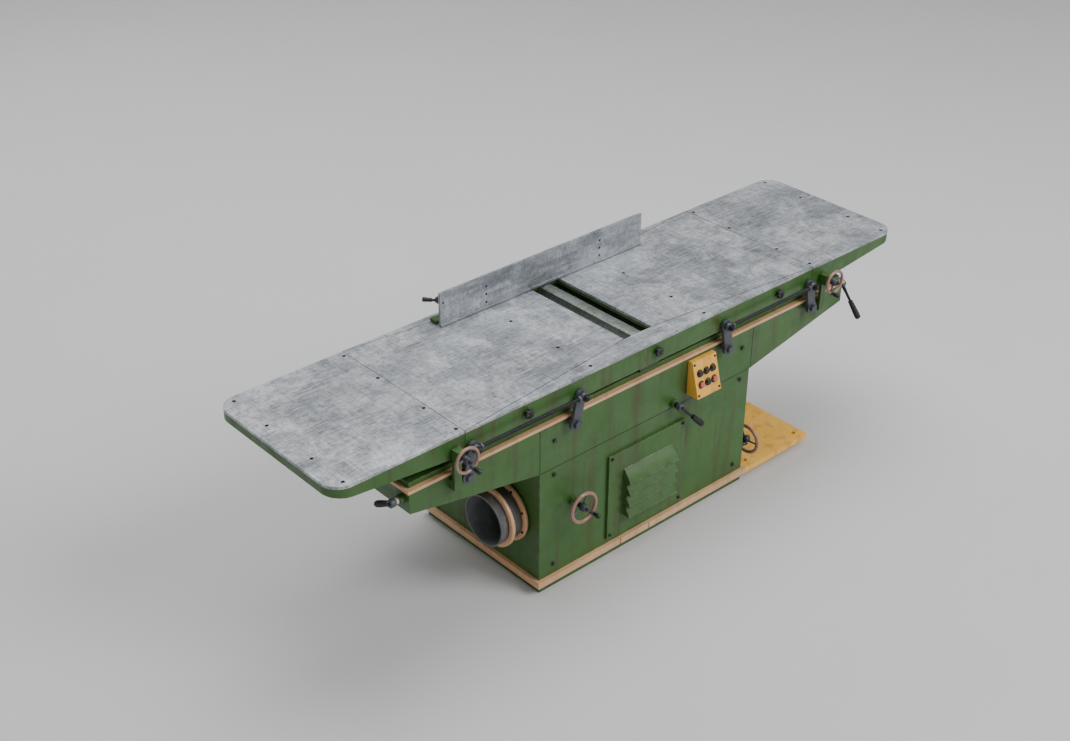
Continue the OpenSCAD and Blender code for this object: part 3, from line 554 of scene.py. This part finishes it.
def lock_knob(side):
    """A lobed knob with a metal cap, a collar behind it and its shaft."""
    node = f"lock_knob_{side}"
    low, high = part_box(node)
    at = JOINTS[node + "_turn"]["pos_m"]
    place = frame_at((at[0], low.y, at[2]), (0, -1, 0))
    knob = Piece(node + "_detailed")
    depth = 12 * MM
    lobes, points = 8, 96
    outline = []
    for i in range(points):
        a = TAU * i / points
        r = (17.4 + 1.5 * math.cos(lobes * a)) * MM
        outline.append((r * math.cos(a), r * math.sin(a)))
    knob.prism(outline, -depth, 0, black_plastic, place)
    knob.lathe([(0, 0), (9 * MM, 0), (8 * MM, 0.8 * MM), (0, 0.8 * MM)], blackened, place, 32)
    knob.lathe([(0, -depth - 6 * MM), (10 * MM, -depth - 6 * MM), (11 * MM, -depth - 5 * MM),
                (11 * MM, -depth)], black_plastic, place, 32)
    shaft = high.y - low.y
    knob.lathe([(0, -shaft), (8 * MM, -shaft), (8 * MM, -depth), (0, -depth)], blackened, place, 24)
    knob.done(node, "black_plastic", node, bevel=1.4 * MM, segments=3, angle=50)


for side in ("left", "middle", "right"):
    lock_knob(side)


# ---- control box ----

press = JOINTS["button_1_press"]["axis"]
slope = math.atan2(-press[2], press[1])
box_low, box_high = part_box("control_box")
face_at = Vector(((box_low.x + box_high.x) / 2,
                  box_low.y + (box_high.z - box_low.z) / 2 * math.tan(slope),
                  (box_low.z + box_high.z) / 2))
FACE = frame_at(face_at, [-a for a in press])
BUTTON_GAP = (34 * MM, 44 * MM)


def button_place(number):
    """Where a button sits on the sloping face: 1 to 3 above, 4 to 6 below."""
    row = 0 if number > 3 else 1
    column = (number - 1) % 3 - 1
    return FACE @ Matrix.Translation((column * BUTTON_GAP[0], (row - 0.5) * BUTTON_GAP[1], 0))


RED_BUTTONS = (4, 6)
bezels = Piece("button_bezels")
for number in range(1, 7):
    place = button_place(number)
    is_red = number in RED_BUTTONS
    button = Piece(f"button_{number}_detailed")
    button.lathe(mm((0, -6), (7.8, -6), (7.8, 4.6), (10.2, 4.6), (11, 5.2), (11, 8.2), (10.2, 9.6),
                    (8, 10.3), (5, 10.1), (0, 9.8)), red_plastic if is_red else black_plastic, place, 40)
    button.done(f"button_{number}", "red_plastic" if is_red else "black_plastic", f"button_{number}")
    bezels.lathe(mm((11.4, 0), (15, 0), (15, 1.4), (14, 2.6), (12.2, 2.6), (11.4, 1.8), (11.4, 0)),
                 blackened, place, 40)
bezels.done("frame", "dark_steel")


# ---- fasteners ----

def hex_bolt(piece, place, radius, height, mat):
    """A chamfered hexagon head on a washer; local Z points out of the seat."""
    piece.lathe(rounded(radius * 1.12, 0, 1.8 * MM, 0.6 * MM), mat, place, 32)
    piece.lathe([(0, 1.8 * MM), (radius, 1.8 * MM), (radius, height - 1.2 * MM), (radius * 0.88, height),
                 (0, height)], mat, place, sides=6)


def socket_screw(piece, place, radius, height, sides=6):
    """A round head with a hexagon socket sunk into it."""
    depth = height * 0.55
    socket, rim = radius * 0.52, radius * 0.93
    n = 32
    piece.lathe([(radius, 0), (radius, height * 0.72), (rim, height)], blackened, place, n)
    verts = [(rim * math.cos(TAU * i / n), rim * math.sin(TAU * i / n), height) for i in range(n)]
    hexed = []
    for i in range(n):
        a = TAU * i / n
        wedge = (a % (TAU / sides)) - TAU / sides / 2
        r = socket * math.cos(math.pi / sides) / math.cos(wedge)
        hexed.append((r * math.cos(a), r * math.sin(a)))
    verts += [(x, y, height) for x, y in hexed] + [(x, y, height - depth) for x, y in hexed]
    faces = []
    for i in range(n):
        j = (i + 1) % n
        faces.append((i, j, n + j, n + i))
        faces.append((n + i, n + j, 2 * n + j, 2 * n + i))
    faces.append(tuple(range(2 * n, 3 * n)))
    piece._add(verts, faces, blackened, place, smooth=False)


BOX_SCREW_WIDTH = 9 * MM
BED_FRONT, BED_BACK = (corner.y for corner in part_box("bed_centre"))
DOOR_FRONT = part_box("door_panel")[0].y
fasteners = Piece("frame_fasteners_detailed")
for low, high in islands("frame_fasteners"):
    middle = (low + high) / 2
    width, flat = high.x - low.x, high.z - low.z
    if abs(flat - BOX_SCREW_WIDTH) < 2 * MM:
        local = FACE.inverted() @ middle
        place = FACE @ Matrix.Translation((local.x, local.y, 0))
        socket_screw(fasteners, place, width / 2, 2.6 * MM)
    elif abs(width - flat) > 0.3 * MM:
        outward, seat_y = (-1, BED_FRONT) if middle.y < 0 else (1, BED_BACK)
        place = frame_at((middle.x, seat_y, middle.z), (0, outward, 0))
        hex_bolt(fasteners, place, width / 2, 8 * MM, dark_green)
    else:
        place = frame_at((middle.x, DOOR_FRONT, middle.z), (0, -1, 0))
        socket_screw(fasteners, place, 0.75 * width / 2, 4 * MM)
fasteners.done("frame", "dark_steel", "frame_fasteners")

TABLE_SCREW_R, TABLE_SCREW_DEPTH = 6.8 * MM, 4.4 * MM
for table in ("outfeed", "infeed"):
    screws = Piece(f"{table}_screws_detailed")
    for low, high in islands(f"{table}_screws"):
        middle = (low + high) / 2
        place = Matrix.Translation((middle.x, middle.y, high.z - TABLE_SCREW_DEPTH))
        socket_screw(screws, place, TABLE_SCREW_R, TABLE_SCREW_DEPTH)
    screws.done(f"{table}_table", "dark_steel", f"{table}_screws")


# ---- lift arms and threaded tie rods ----

ROD_OF_ARM = {"arm_1": "tie_rod_left", "arm_2": "tie_rod_left",
              "arm_3": "tie_rod_right", "arm_4": "tie_rod_right"}
ROD_EYE_R = 16 * MM
for arm, rod in ROD_OF_ARM.items():
    pivot = JOINTS[arm + "_turn"]["pos_m"]
    rod_low, rod_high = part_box(rod)
    top_x = min((rod_low.x + ROD_EYE_R, rod_high.x - ROD_EYE_R), key=lambda x: abs(x - pivot[0]))
    top_z = (rod_low.z + rod_high.z) / 2
    face_y = rod_high.y + 2 * MM
    behind_eye = frame_at((top_x, face_y, top_z), (0, -1, 0))
    before_eye = frame_at((top_x, rod_low.y, top_z), (0, -1, 0))
    over_shaft = frame_at((pivot[0], face_y, pivot[2]), (0, -1, 0))
    hub = Piece(arm + "_fittings")
    hub.lathe(rounded(13 * MM, 0, 2 * MM, 0.8 * MM), blackened, behind_eye, 32)
    hub.lathe(rounded(13 * MM, 0, 2.4 * MM, 0.8 * MM), blackened, before_eye, 32)
    hub.lathe(mm((0, 2.4), (11, 2.4), (11, 9), (9, 10.5), (5, 12), (0, 12.4)), blackened, before_eye,
              sides=6)
    hub.lathe(rounded(20 * MM, 0, 2.4 * MM, MM), blackened, over_shaft, 40)
    hub.done(arm, "dark_steel")


def tie_rod(node):
    """Two eyes joined by a rod with a helical thread, and a lock nut at each eye."""
    low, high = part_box(node)
    eye_r = (high.z - low.z) / 2
    y, z = (low.y + high.y) / 2, (low.z + high.z) / 2
    half = (high.y - low.y) / 2 - 4 * MM
    rod = Piece(node + "_threaded")
    ends = (low.x + eye_r, high.x - eye_r)
    bore = 8.7 * MM
    for x in ends:
        place = frame_at((x, y, z), (0, -1, 0))
        rod.lathe([(bore, -half), (eye_r - MM, -half), (eye_r, -half + MM), (eye_r, half - MM),
                   (eye_r - MM, half), (bore, half), (bore, -half)], slate, place, 48)
    root_r, thread_depth = 6.2, 0.8
    pitch, rings, sides = 4 * MM, 6, 18
    start, stop = ends[0] + eye_r - 2 * MM, ends[1] - eye_r + 2 * MM
    count = int((stop - start) / pitch * rings)
    verts, faces = [], []
    for n in range(count + 1):
        for k in range(sides):
            phase = (n / rings - k / sides) % 1.0
            r = (root_r + thread_depth * (1 - abs(2 * phase - 1))) * MM
            a = TAU * k / sides
            verts.append((start + (stop - start) * n / count, y + r * math.cos(a), z + r * math.sin(a)))
    for n in range(count):
        for k in range(sides):
            k2 = (k + 1) % sides
            faces.append((n * sides + k, n * sides + k2, (n + 1) * sides + k2, (n + 1) * sides + k))
    faces += [tuple(range(sides)), tuple(count * sides + k for k in range(sides))]
    rod._add(verts, faces, blackened, Matrix.Identity(4))
    for x, way in ((start + 3 * MM, 1), (stop - 3 * MM, -1)):
        place = frame_at((x, y, z), (way, 0, 0), (0, 0, 1))
        rod.lathe(mm((0, 0), (10, 0), (11.8, 1.4), (11.8, 8.6), (10, 10), (0, 10)), slate, place, sides=6)
    rod.done(node, "dark_steel", node)


tie_rod("tie_rod_left")
tie_rod("tie_rod_right")


# ---- louvres ----

def louvres():
    """Pressed slats that bulge outwards, each with a turned lip below and a cheek at each end."""
    low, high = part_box("louvre_block")
    door_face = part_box("door_panel")[0].y
    slats = 4
    pitch = (high.z - low.z - 8 * MM) / slats
    reach = door_face - low.y
    piece = Piece("louvre_slats")
    across = frame_at((low.x, door_face, 0), (1, 0, 0), (0, -1, 0))
    width = high.x - low.x
    sheet, stand_off, overlap, lip_depth = 2.4 * MM, 0.4 * MM, 5 * MM, 5 * MM
    steps = 8
    for i in range(slats):
        base = low.z + i * pitch
        outer = []
        for k in range(steps + 1):
            t = k / steps
            bulge = math.sin(t * math.pi) * 3.0 * MM
            outer.append((reach * (1 - t) ** 1.12 + bulge + stand_off, -(base + (pitch + overlap) * t)))
        inner = [(max(x - sheet, 0.0), z) for x, z in reversed(outer)]
        lip = [(reach - lip_depth, -(base + 3.4 * MM)), (reach - lip_depth, -(base + 1.2 * MM))]
        piece.prism(outer + inner[:-1] + lip, 0, width, green, across)
        cheek = [(0.0, -base)] + outer + [(0.0, -(base + pitch + overlap))]
        for x0 in (0, width - sheet):
            piece.prism(cheek, x0, x0 + sheet, green, across)
    piece.done("frame", "green_paint", "louvre_block", bevel=0.8 * MM)


louvres()


# ---- cutterhead ----

def cutter():
    """The head with its gullets and stepped journals, and its knives, wedges and wedge screws."""
    axis = JOINTS["cutterhead_spin"]["pos_m"]
    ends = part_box("cutterhead")
    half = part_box("knife_sets")[1].y
    place = frame_at(axis, (0, 1, 0), (0, 0, 1))
    radius, journal, gullet_depth = 61 * MM, 20 * MM, 12 * MM
    gullet_angle, first, knives = math.radians(46), math.radians(20), 4
    wedge_screws, screw_pitch, points = 9, 54 * MM, 192
    head = Piece("cutterhead_detailed")
    outline = []
    for i in range(points):
        a = TAU * i / points
        phase = ((a - first) % (TAU / knives)) / gullet_angle
        r = radius - gullet_depth * math.sin(math.pi * min(phase, 1)) ** 0.7
        outline.append((r * math.cos(a), r * math.sin(a)))
    head.prism(outline, -half, half, head_steel, place)
    for way in (-1, 1):
        side = place if way > 0 else frame_at(axis, (0, -1, 0), (0, 0, 1))
        head.lathe([(30 * MM, half - MM), (30 * MM, half + 0.8 * MM), (29 * MM, half + 1.4 * MM),
                    (journal, half + 1.4 * MM), (journal, ends[1].y - MM), (journal - MM, ends[1].y),
                    (0, ends[1].y)], blackened, side, 64)
    edges = Piece("knives_detailed")
    for i in range(knives):
        spin = place @ Matrix.Rotation(first + TAU * i / knives, 4, "Z")
        edges.prism(mm((36, -4), (62.3, -3.4), (61.2, -1), (36, -1)), -half, half, knife_steel, spin)
        edges.prism(mm((40, -1), (57.5, -1), (52, 9), (48, 13), (40, 13)), -half + MM, half - MM,
                    blackened, spin)
        for k in range(wedge_screws):
            y = (k - wedge_screws // 2) * screw_pitch
            turn = spin @ frame_at((51.4 * MM, 6.5 * MM, y), (0.84, 0.54, 0), (0, 0, 1))
            socket_screw(edges, turn, 4.6 * MM, 4 * MM)
    head.done("cutterhead", "machined_steel", "cutterhead")
    edges.done("cutterhead", "ground_steel", "knife_sets")


cutter()


# ---- extraction outlet ----

def outlet():
    """A round duct with two clamp rims, bolted to the cabinet's end."""
    low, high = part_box("extraction_outlet")
    y, z = (low.y + high.y) / 2, (low.z + high.z) / 2
    rim = (high.z - low.z) / 2
    tube, bore = rim - 18 * MM, rim - 24 * MM
    length = high.x - low.x
    place = frame_at((high.x, y, z), (-1, 0, 0), (0, 0, 1))
    duct = Piece("extraction_duct")
    duct.lathe([(bore, 0), (tube, 0), (tube, length - 4 * MM), (tube + 1.5 * MM, length - 3 * MM),
                (tube + 1.5 * MM, length - MM), (tube, length), (bore + MM, length), (bore, length - MM),
                (bore, 0)], duct_dark, place, 96)
    for start in (6 * MM, 66 * MM):
        duct.lathe([(tube - MM, start), (rim - 2 * MM, start), (rim, start + 2 * MM), (rim, start + 12 * MM),
                    (rim - 2 * MM, start + 14 * MM), (tube - MM, start + 14 * MM)], peach, place, 96)
    bolts = 8
    for i in range(bolts):
        spin = place @ Matrix.Rotation(TAU * (i + 0.5) / bolts, 4, "Z")
        hex_bolt(duct, spin @ Matrix.Translation((rim - 9 * MM, 0, 20 * MM)), 4.5 * MM, 5 * MM, blackened)
    duct.done("frame", "peach_paint", "extraction_outlet")


outlet()


# ---- painted shade: dark strips in the seams between castings ----

# Painted shade: thin dark strips along the bed's joints and the base plate's joints, where the gaps would be
# shaded.
seams = Piece("casting_seams")
BASE_JOINTS_X = (-0.131, 0.018)
bed_low, bed_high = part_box("bed_centre")
side_low, side_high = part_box("cabinet_sides")
base_low, base_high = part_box("base_plate")
trim_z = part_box("bed_trim")[0].z
half, proud = 1.3 * MM, 0.35 * MM
for sign, face in ((-1, bed_low.y), (1, bed_high.y)):
    near, far = sorted((face, face + sign * proud))
    seams.box((side_low.x, near, bed_low.z - half), (side_high.x, far, bed_low.z + half), painted_gap_shade)
    for x in (bed_low.x, bed_high.x):
        seams.box((x - half, near, bed_low.z), (x + half, far, trim_z), painted_gap_shade)
for x in BASE_JOINTS_X:
    seams.box((x - half, base_low.y - proud, base_low.z), (x + half, base_low.y + MM, base_high.z), painted_gap_shade)
seams.done("frame", "belt_rubber")

# where a lip's seam starts beside the head, and the inner edge of the lips
GAP_HALF, LIP_Y = 69.5 * MM, 250 * MM
EDGE_HALF = 1.1 * MM
for table, sign in (("outfeed", -1), ("infeed", 1)):
    wing_low, wing_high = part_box(f"{table}_wing")
    plate_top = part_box(f"{table}_plate")[1].z
    joint_x = wing_high.x if sign < 0 else wing_low.x
    half_w = wing_high.y
    # Painted shade: dark strips along the lip seams, across the wing joint and down its side face, standing
    # in for the shaded gaps between plates.
    lines = Piece(f"{table}_plate_seams")

    def seam(start, end, width=2.2 * MM, proud=0.15 * MM):
        run = Vector((*end, 0)) - Vector((*start, 0))
        place = frame_at((*start, plate_top), (0, 0, 1), run)
        lines.box((0, -width / 2, -proud), (run.length, width / 2, proud), painted_gap_shade, place)

    for way in (-1, 1):
        seam((sign * GAP_HALF, way * LIP_Y), (joint_x - sign * 2 * MM, way * (half_w - 1.5 * MM)))
        face = sorted((way * (half_w - 0.2 * MM), way * (half_w + 0.3 * MM)))
        lines.box((joint_x - EDGE_HALF, face[0], wing_low.z), (joint_x + EDGE_HALF, face[1], plate_top),
                  painted_gap_shade)
    seam((joint_x, -half_w), (joint_x, half_w))
    lines.done(f"{table}_table", "belt_rubber")


# ---- floor, light and camera ----

def stage_material(name, colour):
    s = Shader(name)
    soft = s.ramp(s.noise(1.3, 5, 0.6), 0.3, 0.7)
    tint = s.mix(s.times(soft, 0.5), colour, tuple(c * 0.96 for c in colour))
    return s.finish(tint, 0.75)


bpy.ops.mesh.primitive_plane_add(size=60, location=(0, 0, 0))
floor = bpy.context.object
floor.name = "studio_floor"
floor.data.materials.append(stage_material("pale_floor", srgb(206, 206, 206)))
floor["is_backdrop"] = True


def area_light(name, at, aim, size, power, colour=(1, 1, 1)):
    data = bpy.data.lights.new(name, "AREA")
    data.shape = "RECTANGLE"
    data.size, data.size_y = size
    data.energy = power
    data.color = colour
    lamp = bpy.data.objects.new(name, data)
    bpy.context.scene.collection.objects.link(lamp)
    lamp.location = at
    lamp.rotation_euler = (Vector(at) - Vector(aim)).to_track_quat("Z", "Y").to_euler()


area_light("key", (4.6, -8.4, 8.6), (0, 0, 0.6), (6.0, 6.0), 1180)
area_light("overhead", (0.8, 1.2, 7.5), (0, 0, 0.8), (6.0, 5.0), 400)
area_light("fill", (-7.0, -3.5, 3.0), (0, 0, 0.5), (4.0, 3.0), 30)
area_light("rim", (-1.0, 7.0, 4.5), (0, 0, 0.8), (5.0, 2.5), 150)

world = bpy.data.worlds.new("studio")
world.use_nodes = True
world.node_tree.nodes["Background"].inputs["Color"].default_value = (0.86, 0.88, 0.90, 1)
world.node_tree.nodes["Background"].inputs["Strength"].default_value = 0.30
bpy.context.scene.world = world

CAMERA_AT = (-3.444, -3.546, 3.561)
AZIMUTH, ELEVATION, ROLL = (math.radians(angle) for angle in (-41.889, 31.115, 0.293))
camera_data = bpy.data.cameras.new("camera")
camera_data.lens = 52.1
camera_data.sensor_width = 36
camera_data.clip_end = 200
camera = bpy.data.objects.new("camera", camera_data)
bpy.context.scene.collection.objects.link(camera)
turn = Matrix.Rotation(AZIMUTH, 4, "Z") @ Matrix.Rotation(math.pi / 2 - ELEVATION, 4, "X")
camera.matrix_world = Matrix.Translation(CAMERA_AT) @ turn @ Matrix.Rotation(ROLL, 4, "Z")
bpy.context.scene.camera = camera

low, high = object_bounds()
